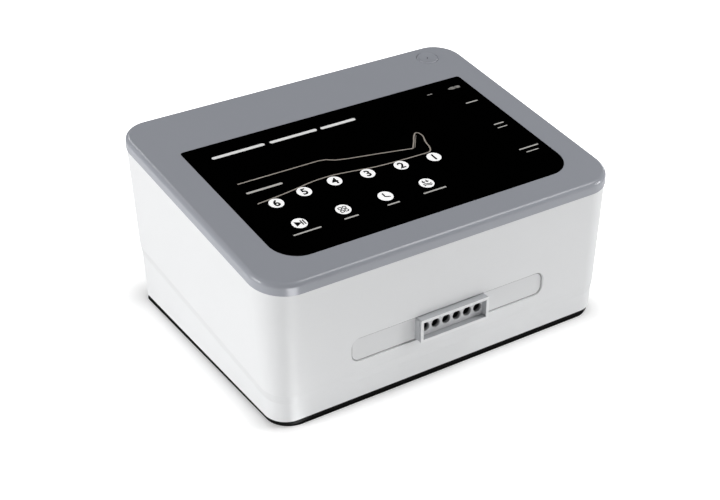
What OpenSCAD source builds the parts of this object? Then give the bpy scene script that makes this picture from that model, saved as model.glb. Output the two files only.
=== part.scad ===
// Six-chamber air compression pump: a wedge-shaped table-top unit with a sloping touch panel.
// The width runs along X, the front with the air socket faces -Y, and Z = 0 is the table under the feet.

/* [Body] */
// Width of the shell at the joint with the bezel
body_w = 280; // [260:1:300]
// Depth of the shell at the joint with the bezel
body_d = 207.8; // [200:0.1:225]
// Height of that joint at the front edge
joint_z = 102.4; // [96:0.1:110]
// Slope of the top, up to the rear, in degrees
top_slope = 6.7; // [4:0.1:7]
// Radius of the upright front corners at the joint
corner_rf = 24; // [20:0.5:28]
// Radius of the upright rear corners at the joint
corner_rr = 21; // [18:0.5:28]
// How much tighter the upright corners get, per mm down
corner_draft = 0.075; // [0.05:0.001:0.09]
// Wall of the white shell
wall = 2.5; // [2:0.1:3]
// Inward draft of the side walls, per mm of height
side_draft = 0.053; // [0.03:0.001:0.055]
// Inward draft of the front wall, per mm of height
front_draft = 0.028; // [0.02:0.001:0.04]
// Inward draft of the rear wall, per mm of height
rear_draft = 0.054; // [0.02:0.001:0.06]
// Distance from the joint down to the step band
band_down = 77.8; // [72:0.1:80]
// Height of the sloping step band
band_h = 6.5; // [4:0.1:8]
// How far the wall steps in across the band
band_step = 0.8; // [0.4:0.1:1.2]

/* [Bezel] */
// Height of the bezel above the joint
bezel_h = 8.3; // [8:0.1:11]
// How far the bezel stands out over the shell
bezel_lip = 0.4; // [0.2:0.1:1]
// Radius of the bezel's upper edge
bezel_round = 3.5; // [2:0.1:4.5]
// Thickness of the bezel's top
top_wall = 3; // [2.6:0.1:3.4]

/* [Touch panel] */
// Width of the panel
panel_w = 233.8; // [225:0.2:236]
// Depth of the panel, up the slope
panel_d = 138.6; // [130:0.1:145]
// Shift of the panel's middle to the right
panel_x = 1.2; // [-2:0.1:2]
// Distance of the panel from the front edge
panel_up = 21.6; // [19:0.1:23]
// Radius of the panel's front corners
panel_rf = 19.8; // [12:0.1:24]
// Radius of the panel's rear corners
panel_rr = 2.4; // [1.5:0.1:4]
// Thickness of the panel
panel_t = 1.5; // [1.2:0.1:1.8]

/* [Power button] */
// Diameter of the button
button_d = 16; // [14:0.5:17]
// Place of the button across the top
button_x = 112.9; // [108:0.1:114]
// Place of the button up the slope
button_up = 193; // [190:0.5:194]
// Height that the button stands above the bezel
button_proud = 0.5; // [0.2:0.1:1]
// Travel of the button when it is pressed
button_travel = 0.8; // [0.4:0.1:1]

/* [Air socket] */
// Height of the middle of the socket and its plate
socket_z = 43.2; // [41:0.1:46]
// Length and height of the pill-shaped plate
plate_w = 156.4; // [150:0.2:160]
plate_h = 17.5; // [17:0.1:18]
// Radius of the plate's corners
plate_r = 6; // [4:0.5:8]
// Outer width and height of the socket's shroud
socket_w = 55.6; // [55:0.1:57]
socket_h = 17.4; // [17:0.1:18]
// Depth of the plate in its recess, at its lower edge
plate_in = 0.9; // [0.4:0.1:1.2]
// Radius of the recess's soft rim
rim_r = 1.6; // [1.4:0.1:2]
// How far the shroud stands out of the front wall
socket_out = 5.4; // [4:0.1:8]
// Wall of the shroud
socket_wall = 2; // [1.6:0.1:2.2]
// Distance between neighbouring ports
port_pitch = 8.6; // [8.4:0.1:8.6]
// Diameter of a port
port_d = 6.8; // [6.2:0.1:7]

/* [Base] */
// Gap between the table and the base cover
base_gap = 1; // [0.6:0.1:1.5]
// Thickness of the base cover
base_t = 3; // [2.8:0.1:3.4]
// How far the base cover's edge is set in
base_in = 0.5; // [0.2:0.1:1]
// Diameter of a foot
foot_d = 16; // [12:1:18]

/* [Hidden] */

white = [0.90, 0.91, 0.92];
grey = [0.50, 0.52, 0.56];
black = [0.03, 0.03, 0.035];
dark = [0.12, 0.12, 0.13];
steel = [0.68, 0.69, 0.70];
copper = [0.72, 0.40, 0.22];
brass = [0.80, 0.64, 0.32];
board_green = [0.07, 0.33, 0.20];
clear_tube = [0.82, 0.85, 0.86];
lead = [0.25, 0.25, 0.27];

corner_n = 16;                       // steps round a quarter of the body's outline
slip = 0.15;                         // gap round a piece set into a pocket
screw_r = 1.5;                       // shank of the case screws
screw_hole_r = 1.6;
small_r = 1.1;                       // shank of the board screws
small_hole_r = 1.2;

// The socket stands out in front, so the shell sits a little behind the middle of the whole outline.
socket_front = front_draft*(joint_z - socket_z) - socket_out;
y_front = -(body_d + bezel_lip + socket_front)/2;
y_rear = y_front + body_d;
base_top = base_gap + base_t;

function top_z(y) = joint_z + (y - y_front)*tan(top_slope);
function side_x(y, z) = body_w/2 - side_draft*(top_z(y) - z);
function wall_y(z) = y_front + front_draft*(joint_z - z);
function rear_y(z) = y_rear - rear_draft*(top_z(y_rear) - z);

// ---- outlines and lofts ----

function arc(cx, cy, r, a0, n) = [for (i = [0:n]) [cx + r*cos(a0 + 90*i/n), cy + r*sin(a0 + 90*i/n)]];

// A rounded four-sided outline: xf and xr are its half widths at the front and the rear.
function outline(xf, xr, y0, y1, rf, rr, n = corner_n) = concat(
    arc(xr - rr, y1 - rr, rr, 0, n), arc(rr - xr, y1 - rr, rr, 90, n),
    arc(rf - xf, y0 + rf, rf, 180, n), arc(xf - rf, y0 + rf, rf, 270, n));

// A ring of the shell parallel to the top, this far below the joint.
function slope_ring(down, step) =
    let (x = body_w/2 - side_draft*down - step, s = corner_draft*down + step)
    [for (p = outline(x, x, y_front + front_draft*down + step, y_rear - rear_draft*down - step,
        corner_rf - s, corner_rr - s)) [p[0], p[1], top_z(p[1]) - down]];

// A level ring of the shell, set in by the same drafts.
function level_ring(z, step) =
    let (y0 = wall_y(z) + step, y1 = rear_y(z) - step)
    [for (p = outline(side_x(y0, z) - step, side_x(y1, z) - step, y0, y1,
        corner_rf - corner_draft*(joint_z - z) - step,
        corner_rr - corner_draft*(top_z(y1) - z) - step)) [p[0], p[1], z]];

// A ring of the bezel: straight above the joint, with no draft.
function bezel_ring(up, inset) =
    let (x = body_w/2 - inset)
    [for (p = outline(x, x, y_front + inset, y_rear - inset, corner_rf - inset, corner_rr - inset))
        [p[0], p[1], top_z(p[1]) + up]];

function flat(ring) = [for (p = ring) [p[0], p[1]]];

// A solid through rings of equal length, listed from the bottom to the top.
module loft(rings) {
    n = len(rings[0]);
    m = len(rings);
    sides = [for (k = [0:m - 2], i = [0:n - 1]) let (j = (i + 1)%n, a = k*n, b = a + n)
        each [[a + i, b + i, b + j], [a + i, b + j, a + j]]];
    polyhedron(points = [for (r = rings) each r],
        faces = concat(sides, [[for (i = [0:n - 1]) i]], [[for (i = [n - 1:-1:0]) (m - 1)*n + i]]));
}

// Ring k of a tube swept along a path, from its tangent and a vector that the path never runs along.
function unit(v) = v/norm(v);
function tangent(path, k) =
    unit(path[min(k + 1, len(path) - 1)] - path[max(k - 1, 0)]);
function tube_ring(path, k, r, sides, off) =
    let (t = tangent(path, k), u = unit(cross(t, off)), w = cross(t, u))
    [for (i = [0:sides - 1]) path[k] + r*cos(360*i/sides)*u + r*sin(360*i/sides)*w];

module tube(path, r, sides = 8, off = [0, 0, 1]) {
    loft([for (k = [0:len(path) - 1]) tube_ring(path, k, r, sides, off)]);
}

// A cubic curve from a to d with a straight millimetre at each end.
function bezier(a, b, c, d, n) = let (p = a + unit(b - a), q = d + unit(c - d))
    concat([a], [for (i = [0:n]) let (t = i/n, s = 1 - t)
        p*pow(s, 3) + b*3*s*s*t + c*3*s*t*t + q*pow(t, 3)], [d]);

module block(x0, x1, y0, y1, z0, z1) {
    translate([x0, y0, z0]) cube([x1 - x0, y1 - y0, z1 - z0]);
}

// A plain rod or a ring along Z from z0 to z1.
module rod(r, z0, z1) {
    translate([0, 0, z0]) cylinder(r = r, h = z1 - z0, $fn = 48);
}

module pipe(r, bore, z0, z1) {
    difference() {
        rod(r, z0, z1);
        rod(bore, z0 - 1, z1 + 1);
    }
}

// Local frames: on_top has z = 0 on the sloping top, y up the slope; on_front faces out of the plate.
module on_top() {
    translate([0, y_front, joint_z + bezel_h]) rotate([top_slope, 0, 0]) children();
}

plate_y = wall_y(socket_z - plate_h/2) + plate_in;
shroud_h = plate_y - y_front - socket_front;
module on_front() {
    translate([0, plate_y, socket_z]) rotate([90, 0, 0]) children();
}

// ---- shell ----

pad_y = y_front + 9;                 // inner face of the thick pad behind the plate
pad_z = plate_y - pad_y;             // the same face in the plate's frame
flange_t = 2;
socket_flange = [74, 20];
base_screw_at = [for (y = [-70, 72]) [side_x(y, base_top) - band_step - 8.2, y]];
boss_h = 18;
bezel_screw_at = [[128, 40], [128, 172]];
lug_top = -18;
lug_t = 6;
inlet_x = -95;
inlet_z = 22;
inlet_y = rear_y(inlet_z - 8) - band_step;
inlet_body = [22, 12];
vent_n = 13;
vent_pitch = 7.5;
vent_z = [66, 90];

function plate_outline(grow) = outline(plate_w/2 + grow, plate_w/2 + grow,
    -plate_h/2 - grow, plate_h/2 + grow, plate_r + grow, plate_r + grow, 8);

module mirrored_x() {
    children();
    mirror([1, 0, 0]) children();
}

module shell_outside() {
    loft([level_ring(base_top, band_step + 0.7), level_ring(base_top + 0.7, band_step),
        slope_ring(band_down + band_h, band_step), slope_ring(band_down, 0), slope_ring(0, 0)]);
}

module shell_inside() {
    loft([level_ring(base_top - 1, band_step + wall), slope_ring(-1, wall)]);
}

// Bosses for the base screws, each tied to the side wall by a rib.
module base_bosses() {
    mirrored_x() for (p = base_screw_at) translate([p[0], p[1], base_top]) {
        cylinder(r = 5, h = boss_h, $fn = 48);
        translate([0, -4, 0]) cube([7.4, 8, boss_h]);
    }
}

// Lugs under the joint that take the bezel screws.
module bezel_lugs() {
    on_top() mirrored_x() for (p = bezel_screw_at)
        block(p[0] - 6, p[0] + 10, p[1] - 6, p[1] + 6, lug_top - lug_t, lug_top);
}

// The recess: a rounded rim falling to the plate's pocket, and the hole for the socket's body.
module socket_recess() {
    on_front() {
        loft([for (a = [0:18:90]) [for (p = plate_outline(slip + rim_r*(1 - cos(a))))
            [p[0], p[1], rim_r*sin(a)]]]);
        translate([0, 0, -1.5]) linear_extrude(1.6) polygon(plate_outline(slip));
        block(-27.2, 27.2, -8.05, 8.05, pad_z - 1, 0);
        for (x = [-33, 33]) translate([x, 0, 0]) rod(screw_hole_r, pad_z - 1, pad_z + 3.4);
    }
}

// Vent slots with round ends through the rear wall.
module vent_slots() {
    for (i = [0:vent_n - 1]) translate([(i - (vent_n - 1)/2)*vent_pitch, y_rear - 12, 0]) {
        for (z = vent_z) translate([0, 0, z]) rotate([-90, 0, 0]) cylinder(r = 1.5, h = 16, $fn = 24);
        translate([-1.5, 0, vent_z[0]]) cube([3, 16, vent_z[1] - vent_z[0]]);
    }
}

module main_housing() {
    color(white) difference() {
        union() {
            difference() {
                shell_outside();
                shell_inside();
            }
            base_bosses();
            bezel_lugs();
            block(-84, 84, y_front + 3, pad_y, 27, 60);
        }
        socket_recess();
        vent_slots();
        mirrored_x() for (p = base_screw_at) translate([p[0], p[1], 0]) rod(screw_hole_r, 0, base_top + 15);
        on_top() mirrored_x() for (p = bezel_screw_at)
            translate([p[0], p[1], 0]) rod(1.7, lug_top - lug_t - 1, lug_top + 1);
        translate([inlet_x, inlet_y, inlet_z]) {
            block(-11.2, 11.2, -8, 4, -6.2, 6.2);
            block(-15.2, 15.2, 0, 4, -8.2, 8.2);
        }
    }
}

// ---- bezel, panel and display ----

display_post_at = [[-111, 60], [-111, 125], [113, 60], [113, 125]];
display_z = -9.5;                    // upper face of the display board
display_t = 1.6;
switch_post_dx = 13;
switch_z = -15.5;                    // upper face of the switch board
key_at = [[-87.4, 79.9], [-64.1, 82.9], [-39.6, 84.5], [-14.7, 81.7], [11.2, 79.6], [37.2, 77.6],
    [-85.5, 53.3], [-52.3, 53.3], [-19.2, 53.3], [14.2, 53.3]];
digit_up = [56.3, 90.3, 126.1];

function panel_outline(grow) = outline(panel_w/2 + grow, panel_w/2 + grow,
    panel_up - grow, panel_up + panel_d + grow, panel_rf + grow, panel_rr + grow, 10);

module bezel_outside() {
    loft(concat([bezel_ring(0, -bezel_lip)], [for (a = [0:15:90])
        bezel_ring(bezel_h - bezel_round*(1 - sin(a)), bezel_round*(1 - cos(a)) - bezel_lip)]));
}

// A tongue reaches down inside the shell.
module bezel_tongue() {
    loft([bezel_ring(-3, wall + 0.3), bezel_ring(1, wall + 0.3)]);
}

module bezel_inside() {
    loft([bezel_ring(-4, 4.3), bezel_ring(1, 4.3), bezel_ring(2.5, 2.2),
        bezel_ring(bezel_h - top_wall/cos(top_slope), 2.2)]);
}

module top_bezel() {
    color(grey) difference() {
        union() {
            difference() {
                union() {
                    bezel_outside();
                    bezel_tongue();
                }
                bezel_inside();
            }
            on_top() {
                mirrored_x() for (p = bezel_screw_at) translate([p[0], p[1], 0]) rod(4, lug_top, -2);
                for (p = display_post_at) translate([p[0], p[1], 0]) rod(3, display_z, -2);
                for (s = [-1, 1]) translate([button_x + s*switch_post_dx, button_up, 0])
                    rod(2.6, switch_z, -2);
            }
        }
        on_top() {
            translate([panel_x, 0, -panel_t]) linear_extrude(panel_t + 1) polygon(panel_outline(slip));
            block(-106, 108, 32, 152, -5, 0);
            translate([button_x, button_up, 0]) rod(button_d/2 + 0.3, -5, 5);
            mirrored_x() for (p = bezel_screw_at)
                translate([p[0], p[1], 0]) rod(screw_hole_r, lug_top - 1, -8);
            for (p = display_post_at) translate([p[0], p[1], 0]) rod(small_hole_r, display_z - 1, -4);
            for (s = [-1, 1]) translate([button_x + s*switch_post_dx, button_up, 0])
                rod(small_hole_r, switch_z - 1, -8);
        }
    }
}

module touch_panel() {
    color(black) on_top() translate([panel_x, 0, -panel_t]) linear_extrude(panel_t) polygon(panel_outline(0));
}

module display_board() {
    color(board_green) on_top() difference() {
        block(-114, 116, 28, 156, display_z - display_t, display_z);
        for (p = display_post_at) translate([p[0], p[1], 0]) rod(small_hole_r, -20, 0);
    }
}

module digit_displays() {
    color(dark) on_top() for (u = digit_up) block(56, 94, u - 9.5, u + 9.5, display_z, -panel_t);
}

module light_guides() {
    color(white) on_top() for (p = key_at) translate([p[0], p[1], 0]) pipe(5.6, 4.4, display_z, -panel_t);
}

module key_lamps() {
    color([0.95, 0.93, 0.80]) on_top() for (p = key_at)
        block(p[0] - 1.6, p[0] + 1.6, p[1] - 1.4, p[1] + 1.4, display_z, display_z + 1.9);
}

// ---- power button ----

button_r = button_d/2;
flange_r = button_r + 1.3;
flange_z = -top_wall - 0.05;
stem_z = -9;
plunger_len = 4;

// A cap with a dished top and a rounded rim, a stop flange under the bezel and a stem.
module power_button() {
    color(grey) on_top() translate([button_x, button_up, 0]) rotate_extrude($fn = 64) polygon(concat(
        [[0, stem_z], [2.5, stem_z], [2.5, flange_z - 1.2], [flange_r, flange_z - 1.2],
        [flange_r, flange_z], [button_r, flange_z]],
        [for (a = [0:22.5:90]) [button_r - 0.8*(1 - cos(a)), button_proud - 0.8*(1 - sin(a))]],
        [for (i = [1:6]) [(button_r - 1.6)*(1 - i/6), button_proud - 0.15 - 0.45*sin(15*i)]]));
}

module switch_plunger() {
    color(dark) on_top() translate([button_x, button_up, 0]) rod(1.75, stem_z - plunger_len, stem_z);
}

module power_switch() {
    color(dark) on_top() translate([button_x, button_up, 0]) difference() {
        block(-6, 6, -6, 6, switch_z, stem_z - 2);
        rod(1.82, stem_z - plunger_len - button_travel - 0.5, 0);
    }
}

module switch_board() {
    color(board_green) on_top() translate([button_x, button_up, 0]) difference() {
        block(-16, 16, -7, 7, switch_z - 1.6, switch_z);
        for (s = [-1, 1]) translate([s*switch_post_dx, 0, 0]) rod(small_hole_r, -20, 0);
    }
}

// ---- air socket, hoses and valves ----

port_x = [for (i = [0:5]) (i - 2.5)*port_pitch];
port_floor = shroud_h - 4.5;         // bottom of the socket, in the plate's frame
port_deep = 7;
block_back = pad_z - 2*flange_t - 2.4;
barb_len = 10;
valve_pitch = 19;
valve_x = [for (i = [0:5]) (i - 2.5)*valve_pitch];
manifold_y = [-30, -14];
manifold_z = [socket_z - 7, socket_z + 7];
valve_top = 78;

module connector_plate() {
    color(white) on_front() difference() {
        translate([0, 0, -1.5]) linear_extrude(1.5) polygon(plate_outline(0));
        block(-27.2, 27.2, -8.05, 8.05, -3, 1);
    }
}

// A frame of four walls, a thinner neck through the shell, and a flange behind it.
module air_socket() {
    w = socket_w/2;
    h = socket_h/2;
    color([0.80, 0.81, 0.83]) on_front() difference() {
        union() {
            linear_extrude(shroud_h) polygon(outline(w, w, -h, h, 0.8, 0.8, 3));
            // key rib on the left side
            block(-w - 0.5, -w + 0.1, 1 - h, h - 1, 0, shroud_h - 2);
            block(-27, 27, -7.85, 7.85, pad_z - flange_t, 0.5);
            block(-socket_flange[0]/2, socket_flange[0]/2, -socket_flange[1]/2, socket_flange[1]/2,
                pad_z - flange_t, pad_z);
        }
        block(-w + socket_wall, w - socket_wall, -h + socket_wall, h - socket_wall, -40, 40);
        for (x = [-33, 33]) translate([x, 0, 0]) rod(1.7, -40, 0);
        // key notch in the upper rim, over the second port
        translate([port_x[1], h - socket_wall, shroud_h - 3]) linear_extrude(4)
            polygon([[-1.1, -0.5], [1.1, -0.5], [0, 1.6]]);
    }
}

module port_block() {
    w = socket_w/2 - socket_wall - 0.1;
    h = socket_h/2 - socket_wall - 0.1;
    color([0.74, 0.75, 0.77]) on_front() difference() {
        union() {
            block(-w, w, -h, h, block_back, port_floor);
            block(-socket_flange[0]/2, socket_flange[0]/2, -socket_flange[1]/2, socket_flange[1]/2,
                pad_z - 2*flange_t, pad_z - flange_t);
        }
        for (x = port_x) translate([x, 0, 0]) {
            rod(port_d/2, port_floor - port_deep, port_floor + 1);
            rod(2.3, block_back - 1, port_floor);
        }
        for (x = [-33, 33]) translate([x, 0, 0]) rod(1.7, -40, 0);
    }
}

// A bored hose fitting along +Z: a plug below z = 0, a collar, and three barbs.
module barb(plug) {
    rotate_extrude($fn = 32) polygon([[1.2, -plug], [2.25, -plug], [2.25, 0], [3.4, 0], [3.4, 1],
        [2, 1], [2, 3], [2.4, 3], [2, 5.5], [2.4, 5.5], [2, 8], [2.4, 8], [1.8, barb_len], [1.2, barb_len]]);
}

module port_barbs() {
    color(brass) on_front() for (x = port_x) translate([x, 0, block_back]) mirror([0, 0, 1]) barb(2.5);
}

module manifold_barbs() {
    color(brass) {
        for (x = valve_x) translate([x, manifold_y[0], socket_z]) rotate([90, 0, 0]) barb(3);
        translate([57, -22, socket_z]) rotate([0, 90, 0]) barb(3);
    }
}

// The hoses spread from the ports to the valves in level S-curves; each end sleeves its barb.
hose_y0 = plate_y - block_back + barb_len;
hose_y1 = manifold_y[0] - barb_len;
hose_n = 14;
function s_curve(x0, x1) = concat([[x0, hose_y0, socket_z]],
    [for (i = [0:hose_n]) let (t = i/hose_n)
        [x0 + (x1 - x0)*t*t*(3 - 2*t), hose_y0 + 1 + (hose_y1 - hose_y0 - 2)*t, socket_z]],
    [[x1, hose_y1, socket_z]]);

module air_hoses() {
    color(clear_tube) for (i = [0:5]) {
        tube(s_curve(port_x[i], valve_x[i]), 3);
        translate([port_x[i], hose_y0, socket_z]) rotate([90, 0, 0]) pipe(3.1, 2.45, 0, barb_len - 1);
        translate([valve_x[i], hose_y1, socket_z]) rotate([-90, 0, 0]) pipe(3.1, 2.45, 0, barb_len - 1);
    }
}

module valve_manifold() {
    color([0.85, 0.86, 0.84]) difference() {
        block(-57, 57, manifold_y[0], manifold_y[1], manifold_z[0], manifold_z[1]);
        for (x = valve_x) translate([x, 0, socket_z]) rotate([90, 0, 0]) rod(2.3, 26, 40);
        translate([0, -22, socket_z]) rotate([0, 90, 0]) rod(2.3, 52, 60);
        for (x = valve_x) translate([x, -28, socket_z - 1]) cube([1.6, 8, 1.6]);
    }
}

// Closed valves: a steel yoke round a wound coil, standing on the manifold.
module solenoid_valves() {
    color(steel) for (x = valve_x) translate([x, -22, manifold_z[1]]) {
        difference() {
            block(-7.5, 7.5, -8, 8, 0, valve_top - manifold_z[1]);
            block(-5.5, 5.5, -9, 9, 3, valve_top - manifold_z[1] - 3);
        }
        rod(5.1, 2.9, valve_top - manifold_z[1] - 2.9);
        rod(2, valve_top - manifold_z[1], valve_top - manifold_z[1] + 2.5);
    }
}

module valve_bracket() {
    z = manifold_z[0];
    color(steel) difference() {
        union() {
            block(-60, 60, -32, -12, z - 2, z);
            for (s = [-1, 1]) translate([s*59, 0, 0]) block(-1, 1, -32, -12, base_top, z);
            for (s = [-1, 1]) translate([s*64, 0, 0]) block(-6, 6, -32, -12, base_top, base_top + 2);
        }
        for (s = [-1, 1]) translate([s*65, -22, 0]) rod(screw_hole_r + 0.1, 0, base_top + 5);
    }
}

// ---- pump ----

pump_at = [56, 42];
mount_at = [[46, 29], [46, -29], [-46, 29], [-46, -29]];
tray_z = base_top + 10;
pump_z = tray_z + 2;
axis_z = pump_z + 20;

module at_pump() {
    translate([pump_at[0], pump_at[1], 0]) children();
}

module along_x(x) {
    translate([x, 0, axis_z]) rotate([0, 90, 0]) children();
}

module pump_tray() {
    color(steel) at_pump() difference() {
        block(-58, 58, -36, 36, tray_z, pump_z);
        for (p = mount_at) translate([p[0], p[1], 0]) rod(2.4, 0, 30);
    }
}

// Rubber bobbins with a waist, a neck through the tray and a socket for the base's peg.
module pump_mounts() {
    color(dark) at_pump() for (p = mount_at) translate([p[0], p[1], base_top]) rotate_extrude($fn = 40)
        polygon([[2.6, 0], [7, 0], [7, 2], [5, 5], [7, 8], [7, 10], [2.3, 10], [2.3, 12], [3.4, 12],
            [3.4, 13.5], [0, 13.5], [0, 3.4], [2.6, 3.4]]);
}

// An open frame; its end walls have the round windows that the diaphragms close.
module pump_frame() {
    color(dark) at_pump() difference() {
        block(-36, 36, -28, 28, pump_z, pump_z + 40);
        block(-32, 32, -24, 24, pump_z - 1, pump_z + 41);
        along_x(0) rod(13, -40, 40);
    }
}

// Laminated E-shaped cores facing each other across the armature.
module magnet_cores() {
    color(steel) at_pump() mirror_y() translate([0, 0, axis_z - 14]) linear_extrude(28)
        polygon([[-22, 24], [-22, 8], [-16, 8], [-16, 20], [-4, 20], [-4, 8], [4, 8], [4, 20], [16, 20],
            [16, 8], [22, 8], [22, 24]]);
}

module mirror_y() {
    children();
    mirror([0, 1, 0]) children();
}

module magnet_coils() {
    color(copper) at_pump() mirror_y() difference() {
        block(-14, 14, 9, 19, axis_z - 18, axis_z + 18);
        block(-4, 4, 8, 20, axis_z - 14, axis_z + 14);
    }
}

armature_end = 36;
module armature_bar() {
    color(steel) at_pump() {
        block(2 - armature_end, armature_end - 2, -4, 4, axis_z - 5, axis_z + 5);
        for (s = [0, 1]) mirror([s, 0, 0]) along_x(0) rod(10, armature_end - 2.01, armature_end);
    }
}

module armature_magnets() {
    color([0.35, 0.35, 0.38]) at_pump() for (x = [-10, 10]) mirror_y()
        block(x - 6, x + 6, 4, 7, axis_z - 12, axis_z + 12);
}

// Rubber discs with one round convolution.
module diaphragms() {
    color(dark) at_pump() for (s = [0, 1]) mirror([s, 0, 0]) along_x(armature_end) rotate_extrude($fn = 48)
        polygon([[0, 0], [10.5, 0], [12, 1], [14, 1], [15, 0], [19, 0], [19, 2], [14.6, 2],
            [13.6, 2.8], [12.4, 2.8], [11, 2], [0, 2]]);
}

module valve_boxes() {
    color(dark) at_pump() for (s = [0, 1]) mirror([s, 0, 0]) {
        difference() {
            block(armature_end, armature_end + 20, -23, 23, pump_z, pump_z + 40);
            along_x(armature_end) {
                rod(19.2, -1, 2);
                rod(15, 1, 6);
            }
            translate([armature_end + 12, 0, 0]) rod(1.2, axis_z + 10, pump_z + 60);
        }
        translate([armature_end + 12, 0, pump_z + 40]) rotate_extrude($fn = 32)
            polygon([[1.2, 0], [3.4, 0], [3.4, 1], [2, 1], [2, 3], [2.4, 3], [2, 5.5], [2.4, 5.5],
                [1.8, 8], [1.2, 8]]);
    }
}

// The pipe joins both outlets and carries a branch for the hose.
pipe_z = pump_z + 58;
module pump_pipe() {
    x = armature_end + 12;
    color(clear_tube) at_pump() {
        for (s = [0, 1]) mirror([s, 0, 0]) {
            translate([x, 0, 0]) pipe(3.2, 2.45, pump_z + 41.2, pipe_z - 8);
            translate([x - 8, 0, pipe_z - 8]) rotate([90, 0, 0])
                rotate_extrude(angle = 90, $fn = 48) translate([8, 0]) circle(r = 3.2, $fn = 24);
        }
        translate([0, 0, pipe_z]) rotate([0, 90, 0]) rod(3.2, 8 - x, x - 8);
        translate([0, 0, pipe_z]) rotate([90, 0, 0]) rod(3.2, 0, 9);
    }
}

module intake_filter() {
    color(white) at_pump() along_x(0) mirror([0, 0, 1]) rotate_extrude($fn = 40)
        translate([0, armature_end + 20]) polygon([[0, 0], [9, 0], [9, 9], [8, 10], [0, 10]]);
}

module pump_hose() {
    start = [pump_at[0], pump_at[1] - 9, pipe_z];
    end = [57 + barb_len, -22, socket_z];
    color(clear_tube) {
        tube(bezier(start, start - [0, 38, 0], end + [36, 0, 0], end, 20), 3);
        translate(end) rotate([0, -90, 0]) pipe(3.1, 2.45, 0, barb_len - 1);
    }
}

// ---- boards ----

board_z = base_top + 6;
board_t = 1.6;
main_hole = [[-114, -76], [-76, -76], [-114, 16], [-76, 16]];
supply_hole = [[-114, 34], [-38, 34], [-114, 74], [-38, 74]];

module main_board() {
    color(board_green) difference() {
        block(-118, -72, -80, 20, board_z, board_z + board_t);
        for (p = main_hole) translate([p[0], p[1], 0]) rod(small_hole_r, 0, 20);
    }
}

module board_components() {
    z = board_z + board_t;
    color(dark) {
        block(-105, -89, -62, -46, z, z + 2);
        block(-116, -106, -22, -8, z, z + 3);
        block(-88, -77, -66, -58, z, z + 8);
        for (i = [0:5]) block(-78, -73.5, -48 + i*10, -41 + i*10, z, z + 6);
        block(-103, -83, -33, -27, z, z + 8);
        for (y = [-10, 2]) translate([-98, y, 0]) rod(4, z, z + 12);
        translate([-86, 14, 0]) rod(5, z, z + 7);
    }
}

module power_supply_board() {
    color([0.62, 0.50, 0.30]) difference() {
        block(-118, -34, 30, 78, board_z, board_z + board_t);
        for (p = supply_hole) translate([p[0], p[1], 0]) rod(small_hole_r, 0, 20);
    }
}

module supply_transformer() {
    z = board_z + board_t;
    color([0.80, 0.72, 0.30]) {
        block(-78, -50, 40, 46, z, z + 26);
        block(-78, -50, 62, 68, z, z + 26);
        block(-78, -72, 46, 62, z, z + 26);
        block(-56, -50, 46, 62, z, z + 26);
        block(-72, -56, 46, 62, z, z + 22);
    }
}

module supply_capacitors() {
    z = board_z + board_t;
    color([0.10, 0.14, 0.30]) {
        translate([-92, 42, 0]) rod(7, z, z + 24);
        translate([-42, 54, 0]) rod(5, z, z + 18);
        block(-106, -94, 50, 60, z, z + 11);
    }
}

// The ribbon runs from the main board up to the display board, with a fold at each end.
module display_ribbon() {
    z0 = board_z + board_t + 8;
    z1 = top_z(-30) + bezel_h - 11.8;
    color([0.75, 0.75, 0.78]) translate([-101, 0, 0]) rotate([90, 0, 90]) linear_extrude(16)
        polygon([[-30.4, z0], [-30.4, z0 + 20], [-44.4, z1 - 20], [-30.4, z1], [-29.6, z1],
            [-43.5, z1 - 20.2], [-29.6, z0 + 20], [-29.6, z0]]);
}

// ---- mains inlet ----

module inlet_outline(w, h, n) {
    polygon(outline(w/2, w/2, -h/2, h/2, h/2 - 0.01, h/2 - 0.01, n));
}

// Faces out of the rear wall: local z points to the rear.
module on_rear() {
    translate([inlet_x, inlet_y, inlet_z]) rotate([-90, 180, 0]) children();
}

module mains_inlet() {
    color(dark) on_rear() difference() {
        union() {
            linear_extrude(2) polygon(outline(15, 15, -8, 8, 3, 3, 6));
            block(-inlet_body[0]/2, inlet_body[0]/2, -inlet_body[1]/2, inlet_body[1]/2, -16, 0.5);
        }
        translate([0, 0, -10]) linear_extrude(20) inlet_outline(16.8, 8.6, 10);
        for (x = [-4.3, 4.3]) translate([x, 0, 0]) rod(1.25, -30, 0);
    }
}

module inlet_pins() {
    color(brass) on_rear() for (x = [-4.3, 4.3]) translate([x, 0, 0]) rod(1.2, -20, -1);
}

module mains_leads() {
    y = inlet_y - 20;
    z = board_z + board_t;
    color(lead) for (s = [-1, 1]) {
        a = [inlet_x + s*4.3, y, inlet_z];
        b = [-100 + s*3, 60, z + 8];
        tube(bezier(a, a - [0, 8, 0], b + [0, 6, 0], b, 10), 1);
    }
}

// ---- low-voltage leads ----

lead_r = 0.8;
lead_foot = board_z + board_t;

// A lead from a, leaving along the vector u, to the point b of a board below, where it comes straight down.
module lead_to_board(a, u, b, rise, off) {
    tube(bezier(a, a + u, [b[0], b[1], lead_foot + rise], [b[0], b[1], lead_foot], 14), lead_r, 6, off);
}

// Two bridges from the supply board to the main board.
module supply_leads() {
    color(lead) for (x = [-109, -106]) lead_to_board([x, 35, lead_foot], [0, 0, 12], [x, 11], 12, [1, 0, 0]);
}

// One lead to each coil of the pump, over the pump's left end.
module pump_leads() {
    z = axis_z + 18;
    color(lead) {
        lead_to_board([46, 56, z], [0, 0, 18], [-46, 70], 60, [0, 1, 0]);
        lead_to_board([46, 28, z], [0, 0, 18], [-46, 35], 60, [0, 1, 0]);
    }
}

// One twin lead from each valve's coil to its connector on the main board.
module valve_leads() {
    color(lead) for (i = [0:5]) translate([0, 0, 6])
        lead_to_board([valve_x[i], -16.88, 66 - 3*i], [0, 44 - 3*i, 0], [-75.75, -44.5 + 10*i], 44, [1, 0, -1]);
}

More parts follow.
